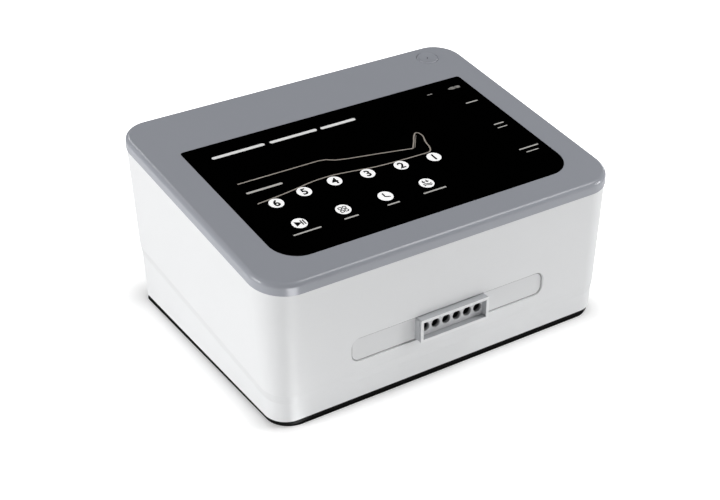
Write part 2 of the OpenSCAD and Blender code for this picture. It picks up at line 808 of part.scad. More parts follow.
// From the switch board along the rear wall, then down to the main board.
module switch_lead() {
    a = [104, 88, top_z(88) + bezel_h - 17.25/cos(top_slope)];
    b = [30, 90, 58];
    color(lead) {
        tube(concat(bezier(a, a - [0, 0, 34], b + [40, 0, 0], b, 10),
            bezier(b - [1, 0, 0], b - [60, 0, 0], [-82, 4, lead_foot + 40], [-82, 4, lead_foot], 14)),
            lead_r, 6, [0, 1, 0]);
    }
}

// ---- base ----

foot_at = [[104, y_front + 30], [104, y_rear - 34]];
base_edge = flat(level_ring(base_top, band_step + 0.7 + base_in));

module base_cover() {
    lip = band_step + wall + 0.3;
    color(black) difference() {
        union() {
            translate([0, 0, base_gap]) linear_extrude(base_t) polygon(base_edge);
            difference() {
                translate([0, 0, base_top - 1]) linear_extrude(5) polygon(flat(level_ring(base_top, lip)));
                translate([0, 0, base_top - 2]) linear_extrude(7)
                    polygon(flat(level_ring(base_top, lip + 1.8)));
                mirrored_x() for (p = base_screw_at)
                    block(p[0] - 8, p[0] + 12, p[1] - 7, p[1] + 7, base_top, base_top + 6);
            }
            for (p = concat(main_hole, supply_hole)) translate([p[0], p[1], 0]) rod(3.5, base_top - 1, board_z);
            at_pump() for (p = mount_at) translate([p[0], p[1], 0]) rod(2.5, base_top - 1, base_top + 3);
            for (s = [-1, 1]) translate([s*65, -22, 0]) rod(4, base_gap + 0.5, base_top);
        }
        mirrored_x() for (p = foot_at) translate([p[0], p[1], 0]) rod(foot_d/2 + 0.2, 0, base_gap + 1.2);
        mirrored_x() for (p = base_screw_at) translate([p[0], p[1], 0]) {
            rod(1.7, 0, base_top + 1);
            rod(3.3, 0, base_gap + 1.8);
        }
        for (p = concat(main_hole, supply_hole)) translate([p[0], p[1], 0]) rod(small_hole_r, base_top - 1.5, 30);
        for (i = [0:8]) translate([pump_at[0] - 28 + i*7, pump_at[1], 0])
            block(-1.5, 1.5, -14, 14, 0, base_top + 1);
    }
}

module rubber_feet() {
    r = foot_d/2;
    color(dark) mirrored_x() for (p = foot_at) translate([p[0], p[1], 0]) rotate_extrude($fn = 48)
        polygon([[0, 0], [r - 0.8, 0], [r, 0.8], [r, base_gap + 1.2], [0, base_gap + 1.2]]);
}

// A screw with its head's underside at z = 0 and its shank up +Z.
module screw(shank, r, head_r, head_h) {
    rod(r, -0.01, shank);
    difference() {
        rod(head_r, -head_h, 0);
        translate([0, 0, -head_h - 0.01]) for (a = [0, 90]) rotate(a)
            block(-head_r*0.6, head_r*0.6, -0.35, 0.35, 0, head_h*0.5);
    }
}

module base_screws() {
    color(steel) mirrored_x() for (p = base_screw_at) translate([p[0], p[1], base_gap + 1.8])
        screw(base_top + 14 - base_gap - 1.8, screw_r, 3, 1.6);
}

module bezel_screws() {
    color(steel) on_top() mirrored_x() for (p = bezel_screw_at) translate([p[0], p[1], lug_top - lug_t])
        screw(lug_t + 9, screw_r, 2.9, 2);
}

module socket_screws() {
    color(steel) on_front() for (x = [-33, 33]) translate([x, 0, pad_z - 2*flange_t])
        screw(2*flange_t + 3.2, screw_r, 2.9, 2);
}

module board_screws() {
    color(steel) {
        for (p = concat(main_hole, supply_hole)) translate([p[0], p[1], board_z + board_t])
            mirror([0, 0, 1]) screw(6.5, small_r, 2.2, 1.6);
        on_top() {
            for (p = display_post_at) translate([p[0], p[1], display_z - display_t])
                screw(display_t + 4.5, small_r, 2.2, 1.6);
            for (s = [-1, 1]) translate([button_x + s*switch_post_dx, button_up, switch_z - 1.6])
                screw(1.6 + 6, small_r, 2.2, 1.6);
        }
    }
}

main_housing();
top_bezel();
touch_panel();
power_button();
switch_plunger();
power_switch();
switch_board();
display_board();
digit_displays();
light_guides();
key_lamps();
connector_plate();
air_socket();
port_block();
port_barbs();
air_hoses();
manifold_barbs();
valve_manifold();
solenoid_valves();
valve_bracket();
pump_tray();
pump_mounts();
pump_frame();
magnet_cores();
magnet_coils();
armature_bar();
armature_magnets();
diaphragms();
valve_boxes();
pump_pipe();
intake_filter();
pump_hose();
main_board();
board_components();
power_supply_board();
supply_transformer();
supply_capacitors();
mains_inlet();
inlet_pins();
mains_leads();
supply_leads();
pump_leads();
valve_leads();
switch_lead();
display_ribbon();
base_cover();
rubber_feet();
base_screws();
bezel_screws();
socket_screws();
board_screws();
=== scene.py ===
"""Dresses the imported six-chamber air compression pump for its photograph: finishes, printed keys and stage."""

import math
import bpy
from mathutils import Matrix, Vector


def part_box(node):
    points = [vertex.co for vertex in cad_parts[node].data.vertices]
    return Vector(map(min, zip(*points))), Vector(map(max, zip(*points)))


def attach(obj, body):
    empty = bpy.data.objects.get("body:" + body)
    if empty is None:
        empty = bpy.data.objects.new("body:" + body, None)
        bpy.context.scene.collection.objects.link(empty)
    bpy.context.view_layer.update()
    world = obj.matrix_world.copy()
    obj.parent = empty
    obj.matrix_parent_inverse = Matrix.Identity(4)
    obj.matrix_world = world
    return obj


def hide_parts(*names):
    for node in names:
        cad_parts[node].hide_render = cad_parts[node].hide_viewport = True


bl_info = {
    "name": "Air compression pump",
    "version": (1, 0, 0),
    "blender": (4, 5, 0),
    "location": "3D View > Sidebar > Air pump",
    "description": "Finishes, printed keys and studio stage for the packed air compression pump",
    "category": "Object",
}

import bmesh
import bpy
from mathutils import Matrix, Vector

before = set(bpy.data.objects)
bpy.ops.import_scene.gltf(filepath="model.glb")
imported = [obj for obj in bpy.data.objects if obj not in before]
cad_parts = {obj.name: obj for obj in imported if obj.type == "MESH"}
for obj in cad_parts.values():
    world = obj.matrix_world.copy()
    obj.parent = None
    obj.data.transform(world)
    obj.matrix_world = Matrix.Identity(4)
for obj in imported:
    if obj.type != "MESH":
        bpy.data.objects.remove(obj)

MM = 0.001
# Corners of the CAD's triangles that lie closer than this are one corner.
WELD = 0.002 * MM
PANEL_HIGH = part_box("touch_panel")[1]


# ---- sizes and colours that a user would change ----

class TopFace(bpy.types.PropertyGroup):
    """Where the sloping top lies, and what is printed on it."""
    slope: bpy.props.FloatProperty(name="Slope", description="Rise of the top to the rear",
        default=math.radians(6.7), subtype="ANGLE", unit="ROTATION")
    panel_rear: bpy.props.FloatProperty(name="Panel rear", description="Panel's rear edge, up the slope",
        default=0.1602, subtype="DISTANCE", unit="LENGTH")
    panel_thick: bpy.props.FloatProperty(name="Panel thickness", description="Thickness of the clear panel",
        default=0.0015, subtype="DISTANCE", unit="LENGTH")
    button: bpy.props.FloatVectorProperty(name="Button", description="Centre of the power button on the top",
        size=2, default=(0.1129, 0.193), subtype="TRANSLATION", unit="LENGTH")
    band: bpy.props.FloatProperty(name="Band", description="Height of the step band's middle line over the middle",
        default=0.03355, subtype="DISTANCE", unit="LENGTH")
    ink: bpy.props.FloatProperty(name="Ink", description="Thickness of the printed ink",
        default=0.00006, subtype="DISTANCE", unit="LENGTH")
    chamber_key: bpy.props.FloatProperty(name="Chamber key", description="Diameter of a numbered key",
        default=0.0104, subtype="DISTANCE", unit="LENGTH")
    menu_key: bpy.props.FloatProperty(name="Menu key", description="Diameter of a key in the lower row",
        default=0.0107, subtype="DISTANCE", unit="LENGTH")
    number_size: bpy.props.FloatProperty(name="Number size", description="Size of the chamber numbers",
        default=0.0092, subtype="DISTANCE", unit="LENGTH")
    outline: bpy.props.FloatProperty(name="Outline", description="Width of the printed leg outline",
        default=0.0015, subtype="DISTANCE", unit="LENGTH")


class Colours(bpy.types.PropertyGroup):
    """Colours of the outside, as sRGB hex values."""
    shell: bpy.props.StringProperty(name="Shell", description="White of the moulded housing", default="F1F2F3")
    bezel: bpy.props.StringProperty(name="Bezel", description="Grey of the top cap", default="ABAEB6")
    button: bpy.props.StringProperty(name="Button", description="Grey of the power button", default="A9ACB4")
    panel: bpy.props.StringProperty(name="Panel", description="Black behind the clear panel", default="010101")
    socket: bpy.props.StringProperty(name="Socket", description="Grey of the air socket", default="C3C5C8")
    base: bpy.props.StringProperty(name="Base", description="Black of the base", default="050606")


class Studio(bpy.types.PropertyGroup):
    """The camera and the lights."""
    lens: bpy.props.FloatProperty(name="Lens", description="Focal length in millimetres", default=75.63,
        unit="CAMERA")
    azimuth: bpy.props.FloatProperty(name="Azimuth", description="Camera's turn round the pump from the front",
        default=math.radians(-33.2818), subtype="ANGLE", unit="ROTATION")
    elevation: bpy.props.FloatProperty(name="Elevation", description="Camera's height angle",
        default=math.radians(30.9028), subtype="ANGLE", unit="ROTATION")
    roll: bpy.props.FloatProperty(name="Roll", description="Camera's roll",
        default=math.radians(0.1984), subtype="ANGLE", unit="ROTATION")
    distance: bpy.props.FloatProperty(name="Distance", description="Camera's distance from its target",
        default=1.077536, subtype="DISTANCE", unit="LENGTH")
    aim: bpy.props.FloatVectorProperty(name="Aim", description="Point the camera looks at",
        default=(-0.0066125, 0.0, 0.0463711), subtype="TRANSLATION", unit="LENGTH")
    side_light: bpy.props.FloatProperty(name="Side light", description="Power of the softbox on the left",
        default=8.0, unit="POWER")
    top_light: bpy.props.FloatProperty(name="Top light", description="Power of the softbox overhead",
        default=6.2, unit="POWER")
    back_light: bpy.props.FloatProperty(name="Back light", description="Power of the softbox high behind",
        default=2.0, unit="POWER")
    fill_light: bpy.props.FloatProperty(name="Fill light", description="Power of the softbox in front on the right",
        default=5.4, unit="POWER")
    rim_light: bpy.props.FloatProperty(name="Rim light", description="Power of the low softbox behind on the right",
        default=1.0, unit="POWER")
    room: bpy.props.FloatProperty(name="Room", description="Strength of the light from all round", default=0.19)
    flag: bpy.props.FloatVectorProperty(name="Flag", description="Where the black flag hangs that the panel mirrors",
        default=(0.471, 0.578, 0.666), subtype="DIRECTION")
    # The paper within the base's footprint is painted black: a painted shadow under the pump.
    covered: bpy.props.FloatVectorProperty(name="Covered", description="Half of the base's footprint",
        default=(0.1322, 0.0983, 1.0), subtype="XYZ", unit="LENGTH")
    round_front: bpy.props.FloatProperty(name="Round front", description="Radius of the base's front corners",
        default=0.017, subtype="DISTANCE", unit="LENGTH")
    round_rear: bpy.props.FloatProperty(name="Round rear", description="Radius of the base's rear corners",
        default=0.0095, subtype="DISTANCE", unit="LENGTH")
    burn: bpy.props.FloatProperty(name="Burn", description="How far the paper burns out to white", default=0.8)
    wedge: bpy.props.FloatVectorProperty(name="Wedge", description="Middle of the front left corner",
        default=(-0.116, -0.08, 0.0), subtype="XYZ", unit="LENGTH")
    streak: bpy.props.FloatProperty(name="Streak", description="Light that the front left corner mirrors",
        default=7.0)
    # The near glow is lower than the far one: a painted contact shadow round the pump.
    near_glow: bpy.props.FloatProperty(name="Near glow", description="Light from the light table beside the pump",
        default=0.2)
    far_glow: bpy.props.FloatProperty(name="Far glow", description="Light from the light table further out",
        default=0.32)


# ---- materials ----

def linear(hex_colour):
    """An sRGB hex value as the linear colour that a shader wants."""
    steps = [int(hex_colour[i:i + 2], 16) / 255 for i in (0, 2, 4)]
    return tuple(c / 12.92 if c <= 0.04045 else ((c + 0.055) / 1.055) ** 2.4 for c in steps) + (1.0,)


def node(mat, kind, inputs=None, **settings):
    """Adds a node. inputs maps a socket's name or number to a value or to the output that feeds it.

    By number, a Map Range takes its value at 0, the range it comes from at 1 and 2, and the range it goes to at 3 and
    4. A colour Mix takes its factor at 0 and its colours at 6 and 7, and gives its result at 2."""
    made = mat.node_tree.nodes.new(kind)
    for key, value in settings.items():
        setattr(made, key, value)
    for key, value in (inputs or {}).items():
        if isinstance(value, bpy.types.NodeSocket):
            mat.node_tree.links.new(value, made.inputs[key])
        else:
            made.inputs[key].default_value = value
    return made


def finish(name, colour, roughness, ior=None, **sockets):
    """A new material with its shader's own sockets set."""
    mat = bpy.data.materials.new(name)
    mat.use_nodes = True
    mat.diffuse_color = linear(colour)
    shader = mat.node_tree.nodes["Principled BSDF"]
    shader.inputs["Base Color"].default_value = linear(colour)
    shader.inputs["Roughness"].default_value = roughness
    if ior:
        shader.inputs["IOR"].default_value = ior
    for key, value in sockets.items():
        shader.inputs[key.replace("_", " ").title().replace("Ior", "IOR")].default_value = value
    return mat, shader


def feed(mat, shader, **sockets):
    """Links outputs to the shader's sockets, each named in small letters."""
    for key, value in sockets.items():
        mat.node_tree.links.new(value, shader.inputs[key.replace("_", " ").title()])


def tones(colour, amount):
    """The colour a little darker and a little paler."""
    base = linear(colour)[:3]
    return [tuple(min(1.0, c * k) for c in base) + (1.0,) for k in (1 - amount, 1 + amount)]


def moulded(name, colour, roughness, ior, grain=0.7, depth=0.012, tone=0.02, patch=50, **sockets):
    """A moulded plastic or rubber: spark-eroded grain, and a slow drift of tone and polish. Sizes in mm."""
    mat, shader = finish(name, colour, roughness, ior, **sockets)
    where = node(mat, "ShaderNodeTexCoord").outputs["Object"]
    slow = node(mat, "ShaderNodeTexNoise", {"Vector": where, "Scale": 1000 / patch, "Detail": 2.0})
    dark, pale = tones(colour, tone)
    tint = node(mat, "ShaderNodeMix", {0: slow.outputs["Fac"], 6: dark, 7: pale}, data_type="RGBA")
    polish = node(mat, "ShaderNodeMapRange", {0: slow.outputs["Fac"], 3: roughness - 0.04, 4: roughness + 0.04})
    spark = node(mat, "ShaderNodeTexNoise", {"Vector": where, "Scale": 1000 / grain, "Detail": 3.0,
        "Roughness": 0.65})
    bump = node(mat, "ShaderNodeBump", {"Height": spark.outputs["Fac"], "Strength": 1.0, "Distance": depth * MM})
    feed(mat, shader, base_color=tint.outputs[2], roughness=polish.outputs[0], normal=bump.outputs[0])
    return mat


def metal(name, colour, roughness, lines=(1, 1, 1), grain=0.5, depth=0.01, tone=0.06):
    """A metal whose drawn, ground or turned lines run along the axis with the small number in lines."""
    mat, shader = finish(name, colour, roughness, metallic=1.0)
    where = node(mat, "ShaderNodeTexCoord").outputs["Object"]
    along = node(mat, "ShaderNodeMapping", {"Vector": where, "Scale": lines})
    fine = node(mat, "ShaderNodeTexNoise", {"Vector": along.outputs[0], "Scale": 1000 / grain, "Detail": 4.0})
    slow = node(mat, "ShaderNodeTexNoise", {"Vector": where, "Scale": 90.0, "Detail": 2.0})
    dark, pale = tones(colour, tone)
    tint = node(mat, "ShaderNodeMix", {0: slow.outputs["Fac"], 6: dark, 7: pale}, data_type="RGBA")
    polish = node(mat, "ShaderNodeMapRange", {0: fine.outputs["Fac"], 3: roughness - 0.08, 4: roughness + 0.1})
    bump = node(mat, "ShaderNodeBump", {"Height": fine.outputs["Fac"], "Strength": 1.0, "Distance": depth * MM})
    feed(mat, shader, base_color=tint.outputs[2], roughness=polish.outputs[0], normal=bump.outputs[0])
    return mat


def layered(name, colours, axis, pitch, roughness, depth, ior=None, metallic=0.0, wander=0.6):
    """Turns, sheets or strands side by side along an axis: dark lines between them, each one rounded."""
    mat, shader = finish(name, colours[1], roughness, ior, metallic=metallic)
    where = node(mat, "ShaderNodeTexCoord").outputs["Object"]
    wave = node(mat, "ShaderNodeTexWave", {"Vector": where, "Scale": math.pi / 10 / (pitch * MM),
        "Distortion": wander, "Detail": 2.0, "Detail Scale": 0.4}, wave_type="BANDS", bands_direction=axis)
    slow = node(mat, "ShaderNodeTexNoise", {"Vector": where, "Scale": 120.0, "Detail": 2.0})
    lifted = node(mat, "ShaderNodeMapRange", {0: wave.outputs["Fac"], 1: 0.0, 2: 0.45})
    shade = node(mat, "ShaderNodeMix", {0: lifted.outputs[0], 6: linear(colours[0]), 7: linear(colours[1])},
        data_type="RGBA")
    polish = node(mat, "ShaderNodeMapRange", {0: slow.outputs["Fac"], 3: roughness - 0.06, 4: roughness + 0.08})
    bump = node(mat, "ShaderNodeBump", {"Height": wave.outputs["Fac"], "Strength": 1.0, "Distance": depth * MM})
    feed(mat, shader, base_color=shade.outputs[2], roughness=polish.outputs[0], normal=bump.outputs[0])
    return mat


def printed_board(name, mask, copper, hole=2.54):
    """A circuit board: conductors that show paler under the solder mask, and rows of tinned pads."""
    mat, shader = finish(name, mask, 0.3, 1.5)
    where = node(mat, "ShaderNodeTexCoord").outputs["Object"]
    routes = node(mat, "ShaderNodeTexVoronoi", {"Vector": where, "Scale": 160.0, "Randomness": 0.8},
        distance="CHEBYCHEV", feature="F1")
    edge = node(mat, "ShaderNodeMath", {0: routes.outputs["Distance"], 1: 0.42}, operation="GREATER_THAN")
    track = node(mat, "ShaderNodeMix", {0: edge.outputs[0], 6: linear(mask), 7: linear(copper)}, data_type="RGBA")
    grid = node(mat, "ShaderNodeTexVoronoi", {"Vector": where, "Scale": 1000 / hole, "Randomness": 0.0},
        feature="F1")
    sparse = node(mat, "ShaderNodeTexNoise", {"Vector": where, "Scale": 60.0, "Detail": 0.0})
    near = node(mat, "ShaderNodeMath", {0: grid.outputs["Distance"], 1: 0.28}, operation="LESS_THAN")
    some = node(mat, "ShaderNodeMath", {0: sparse.outputs["Fac"], 1: 0.54}, operation="GREATER_THAN")
    pad = node(mat, "ShaderNodeMath", {0: near.outputs[0], 1: some.outputs[0]}, operation="MULTIPLY")
    face = node(mat, "ShaderNodeMix", {0: pad.outputs[0], 6: track.outputs[2], 7: linear("C9CBCC")},
        data_type="RGBA")
    bump = node(mat, "ShaderNodeBump", {"Height": edge.outputs[0], "Strength": 0.6, "Distance": 0.03 * MM})
    feed(mat, shader, base_color=face.outputs[2], metallic=pad.outputs[0], normal=bump.outputs[0])
    return mat


def own_colour(mat):
    """A material's shader, and the output that feeds its colour."""
    shader = mat.node_tree.nodes["Principled BSDF"]
    return shader, shader.inputs["Base Color"].links[0].from_socket


def shade(mat, factor):
    """Paints shade into a material's colour: multiplies it by a factor that varies over its surface."""
    shader, own = own_colour(mat)
    shaded = node(mat, "ShaderNodeVectorMath", {0: own, 1: factor}, operation="MULTIPLY")
    feed(mat, shader, base_color=shaded.outputs[0])


def from_core(mat, spot, half, corner):
    """A point's distance from a box about the origin whose half sizes are half less corner, so that it equals corner
    all along the outline of the rounded shape."""
    away = node(mat, "ShaderNodeVectorMath", {0: spot}, operation="ABSOLUTE")
    for sign, amount in (("SUBTRACT", half), ("ADD", corner), ("MAXIMUM", (0, 0, 0))):
        away = node(mat, "ShaderNodeVectorMath", {0: away.outputs[0], 1: amount}, operation=sign)
    return node(mat, "ShaderNodeVectorMath", {0: away.outputs[0]}, operation="LENGTH").outputs["Value"]


def dress(material, *names):
    """Gives CAD nodes this material."""
    for name in names:
        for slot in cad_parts[name].material_slots:
            slot.material = material


# ---- shapes ----

def to_top(x, up, height=0.0):
    """A point of the sloping top: x across, up the slope from its front edge, height over the panel's face."""
    face = bpy.context.scene.top_face
    turn = Matrix.Rotation(face.slope, 4, "X")
    rear = Vector((0, PANEL_HIGH.y - face.panel_thick * math.sin(face.slope), PANEL_HIGH.z))
    edge = rear - turn @ Vector((0, face.panel_rear, 0))
    return Matrix.Translation(edge) @ turn @ Matrix.Translation((x, up, height))


def piece(name, mesh, material, body):
    """A new piece that moves with a body and takes its finish from a slot."""
    made = bpy.data.objects.new(name, mesh)
    bpy.context.scene.collection.objects.link(made)
    mesh.materials.clear()
    mesh.materials.append(material)
    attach(made, body)
    return made


def to_mesh(name, shape):
    """A bmesh written to a new mesh, and freed."""
    mesh = bpy.data.meshes.new(name)
    shape.to_mesh(mesh)
    shape.free()
    return mesh


def from_bmesh(name, shape, material, body):
    """A new piece from a bmesh, its faces turned outwards."""
    bmesh.ops.recalc_face_normals(shape, faces=shape.faces)
    return piece(name, to_mesh(name, shape), material, body)


def welded(source):
    """A CAD node's loose triangles as one closed surface, its flat faces whole."""
    shape = bmesh.new()
    shape.from_mesh(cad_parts[source].data)
    bmesh.ops.remove_doubles(shape, verts=shape.verts, dist=WELD)
    bmesh.ops.dissolve_degenerate(shape, edges=shape.edges, dist=WELD)
    bmesh.ops.dissolve_limit(shape, angle_limit=math.radians(0.3), verts=shape.verts, edges=shape.edges)
    return shape


def smooth_copy(name, source, material, sharp=35, body="case", creases=(0, 0)):
    """A copy of a CAD node whose curved walls shade as one surface. Edges of an angle over sharp, or between the two
    of creases, stay crisp."""
    shape = welded(source)
    for edge in shape.edges:
        angle = math.degrees(edge.calc_face_angle(0))
        edge.smooth = not (angle > sharp or creases[0] < angle < creases[1])
    for face in shape.faces:
        face.smooth = True
    made = piece(name, to_mesh(name, shape), material, body)
    weigh = made.modifiers.new("even shading", "WEIGHTED_NORMAL")
    weigh.keep_sharp = True
    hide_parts(source)


def eased_copy(name, source, material, radius):
    """A copy of a CAD node with its edges rounded as the mould leaves them. radius in mm."""
    mesh = to_mesh(name, welded(source))
    mesh.shade_smooth()
    made = piece(name, mesh, material, "case")
    ease = made.modifiers.new("eased edges", "BEVEL")
    ease.width = radius * MM
    ease.segments = 3
    ease.limit_method = "ANGLE"
    ease.angle_limit = math.radians(35)
    made.modifiers.new("even shading", "WEIGHTED_NORMAL")
    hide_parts(source)


def pill(shape, at, width, height, thick, segments=48):
    """A flat disc, drawn out to a bar with round ends where it is wider than high. Width and height in mm."""
    made = bmesh.ops.create_cone(shape, cap_ends=True, segments=segments, radius1=height / 2 * MM,
        radius2=height / 2 * MM, depth=thick)["verts"]
    for vert in made:
        vert.co.x += math.copysign((width - height) / 2 * MM, vert.co.x + 1e-7)
    bmesh.ops.transform(shape, matrix=at, verts=made)


def bar(shape, at, width, height, thick):
    """A flat bar with square ends. Width and height in mm."""
    bmesh.ops.create_cube(shape, size=1.0, matrix=at @ Matrix.Diagonal((width * MM, height * MM, thick, 1)))


def flat_mesh(curve, at, squeeze=1.0, lift=None):
    """A text or curve as a mesh, pressed flat or laid on a dish, then put in its place."""
    holder = bpy.data.objects.new(curve.name, curve)
    bpy.context.scene.collection.objects.link(holder)
    bpy.context.view_layer.update()
    mesh = bpy.data.meshes.new_from_object(holder.evaluated_get(bpy.context.evaluated_depsgraph_get()))
    bpy.data.objects.remove(holder)
    for vert in mesh.vertices:
        vert.co.z = vert.co.z * squeeze + (lift(vert.co.xy.length) if lift else 0)
    mesh.transform(at)
    return mesh


# The figures' strokes grow by this share of their size on each side.
BOLDER = 0.03


def figure(text, x, up, size, thick, height):
    """A bold figure centred on a point of the top."""
    curve = bpy.data.curves.new("figure", "FONT")
    curve.body = text
    curve.size = size
    curve.offset = size * BOLDER
    curve.align_x = "CENTER"
    curve.align_y = "CENTER"
    curve.extrude = thick / 2
    mesh = flat_mesh(curve, Matrix.Identity(4))
    low, high = (Vector(pick(v.co[i] for v in mesh.vertices) for i in range(3)) for pick in (min, max))
    mesh.transform(to_top(x, up, height) @ Matrix.Translation((low + high) / -2))
    return mesh


def ink_line(points, width, thick, at, closed=False, soft=True, lift=None):
    """A printed line through points in millimetres, of this width in millimetres."""
    curve = bpy.data.curves.new("line", "CURVE")
    curve.dimensions = "3D"
    curve.bevel_depth = width / 2 * MM
    curve.bevel_resolution = 1
    curve.use_fill_caps = True
    curve.resolution_u = 6
    run = curve.splines.new("BEZIER" if soft else "POLY")
    spots = run.bezier_points if soft else run.points
    spots.add(len(points) - 1)
    for spot, (x, up) in zip(spots, points):
        if soft:
            spot.co = (x * MM, up * MM, 0)
            spot.handle_left_type = spot.handle_right_type = "AUTO"
        else:
            spot.co = (x * MM, up * MM, 0, 1)
    run.use_cyclic_u = closed
    return flat_mesh(curve, at, thick / (width * MM), lift)


def join(name, meshes, material, body="case"):
    """One new piece from several meshes, which are used up."""
    shape = bmesh.new()
    for mesh in meshes:
        shape.from_mesh(mesh)
        bpy.data.meshes.remove(mesh)
    bmesh.ops.remove_doubles(shape, verts=shape.verts, dist=WELD / 2)
    return from_bmesh(name, shape, material, body)


# Centres of the printed keys, in mm across and up the slope.
CHAMBER_KEYS = {"6": (-87.3, 79.3), "5": (-64.2, 82.3), "4": (-39.6, 83.7), "3": (-14.8, 81.1), "2": (11.1, 78.9),
    "1": (37.3, 77.2)}
MENU_KEYS = {"start": (-85.5, 53.1), "mode": (-52.2, 53.1), "time": (-19.1, 53.0), "pressure": (14.2, 53.1)}
LEG_ABOVE = [(-99.2, 109.8), (-66.9, 109.6), (-36.7, 109.5), (-31.3, 108.4), (-25.6, 105.0), (-16.9, 102.6),
    (6.5, 98.0), (30.4, 92.8)]
FOOT = [(30.4, 92.8), (36.4, 100.4), (41.0, 106.6), (44.0, 108.6), (45.9, 105.8), (43.4, 96.2), (40.5, 86.0),
    (37.9, 83.8)]
LEG_BELOW = [(-98.6, 84.1), (-83.9, 85.5), (-67.5, 87.6), (-53.5, 89.8), (-39.0, 90.2), (-22.9, 88.2), (-7.7, 85.7),
    (13.8, 84.3), (37.9, 83.8)]
HEEL = [(32.4, 93.2), (41.9, 105.8)]
# Plain bars over, under and beside the keys: centre across, centre up the slope, width and height, in mm.
TITLE_BARS = [(-79.0, 144.4, 41.0, 2.9), (-35.5, 144.1, 38.0, 2.9), (1.0, 143.8, 29.0, 2.9)]
LABEL_BARS = [(-85.6, 97.6, 27.5, 2.0), (-85.4, 43.3, 21.0, 1.3), (-52.0, 43.4, 11.0, 1.3), (-18.9, 43.5, 9.8, 1.3),
    (14.4, 43.6, 18.6, 1.3), (104.8, 57.2, 17.0, 1.2), (104.4, 52.4, 10.6, 0.9), (104.8, 92.0, 8.8, 1.2),
    (104.5, 87.2, 8.6, 0.9), (105.1, 125.1, 10.6, 1.2)]
STATUS_BARS = [(101.4, 147.5, 1.2, 2.0), (103.6, 147.5, 1.2, 3.2), (105.8, 147.5, 1.2, 2.4), (108.0, 147.5, 1.2, 3.0),
    (83.0, 147.4, 4.6, 1.0)]
# As shares of the ink's thickness: how far the black signs lie over the white discs, and the leg outline under.
PROUD, SUNK = 0.8, 0.3


# ---- the operators ----

class WhiteShell(bpy.types.Operator):
    """Finish the white moulded housing"""
    bl_idname = "pump.white_shell"
    bl_label = "White shell"

    def execute(self, context):
        # ABS moulded in a finely spark-eroded tool: a satin white whose highlights spread softly. The real grain is
        # about 0.1 mm; it is drawn at 0.7 mm so that it shows.
        shell = moulded("white ABS, spark-eroded satin", context.scene.colours.shell, 0.5, 1.53, depth=0.006,
            tone=0.006)
        # The step band leaves the wall at 7 degrees, and its two creases show as fine lines.
        smooth_copy("white_shell", "main_housing", shell, sharp=30, creases=(6.2, 9))
        # The step band is painted a shade darker than the wall: painted shade.
        self.paint_band_shade(shell, context.scene.top_face)
        return {"FINISHED"}

    def paint_band_shade(self, mat, face):
        """Painted shade: the step band leans inwards all round, so its colour is painted a shade darker than the wall
        over it, most of all at the end walls. The shade is full up to edge's first distance from the band's middle
        line, gone by the second."""
        edge = (2.8 * MM, 3.6 * MM)
        front_shade, end_shade = 0.98, 0.92
        spot = node(mat, "ShaderNodeSeparateXYZ", {0: node(mat, "ShaderNodeTexCoord").outputs["Object"]})
        rise = node(mat, "ShaderNodeMath", {0: spot.outputs["Y"], 1: -math.tan(face.slope), 2: spot.outputs["Z"]},
            operation="MULTIPLY_ADD")
        off = node(mat, "ShaderNodeMath", {0: rise.outputs[0], 1: face.band}, operation="SUBTRACT")
        side = node(mat, "ShaderNodeMath", {0: off.outputs[0]}, operation="ABSOLUTE")
        facing = node(mat, "ShaderNodeSeparateXYZ", {0: node(mat, "ShaderNodeNewGeometry").outputs["Normal"]})
        end_wall = node(mat, "ShaderNodeMath", {0: facing.outputs["X"]}, operation="ABSOLUTE")
        least = node(mat, "ShaderNodeMapRange", {0: end_wall.outputs[0], 3: front_shade, 4: end_shade})
        on_band = node(mat, "ShaderNodeMapRange", {0: side.outputs[0], 1: edge[0], 2: edge[1], 3: least.outputs[0],
            4: 1.0})
        shade(mat, on_band.outputs[0])


class GreyBezel(bpy.types.Operator):
    """Finish the grey cap round the panel"""
    bl_idname = "pump.grey_bezel"
    bl_label = "Grey bezel"

    def execute(self, context):
        # ABS, moulded in grey: satin, a little glossier than the shell, so its rounded edge catches the softbox.
        bezel = moulded("grey ABS, satin", context.scene.colours.bezel, 0.24, 1.53, depth=0.003, tone=0.012)
        smooth_copy("grey_bezel", "top_bezel", bezel, sharp=30)
        return {"FINISHED"}


class TouchPanel(bpy.types.Operator):
    """Finish the black touch panel"""
    bl_idname = "pump.touch_panel"
    bl_label = "Touch panel"

    def execute(self, context):
        # Clear PMMA sheet, back-printed black: a deep black under a mirror-smooth face with faint ripple.
        mat, shader = finish("black-backed clear acrylic", context.scene.colours.panel, 0.06, 1.49)
        where = node(mat, "ShaderNodeTexCoord").outputs["Object"]
        ripple = node(mat, "ShaderNodeTexNoise", {"Vector": where, "Scale": 25.0, "Detail": 1.0})
        bump = node(mat, "ShaderNodeBump", {"Height": ripple.outputs["Fac"], "Strength": 0.6, "Distance": 0.02 * MM})
        smear = node(mat, "ShaderNodeMapRange", {0: ripple.outputs["Fac"], 3: 0.04, 4: 0.09})
        feed(mat, shader, normal=bump.outputs[0], roughness=smear.outputs[0])
        dress(mat, "touch_panel")
        return {"FINISHED"}


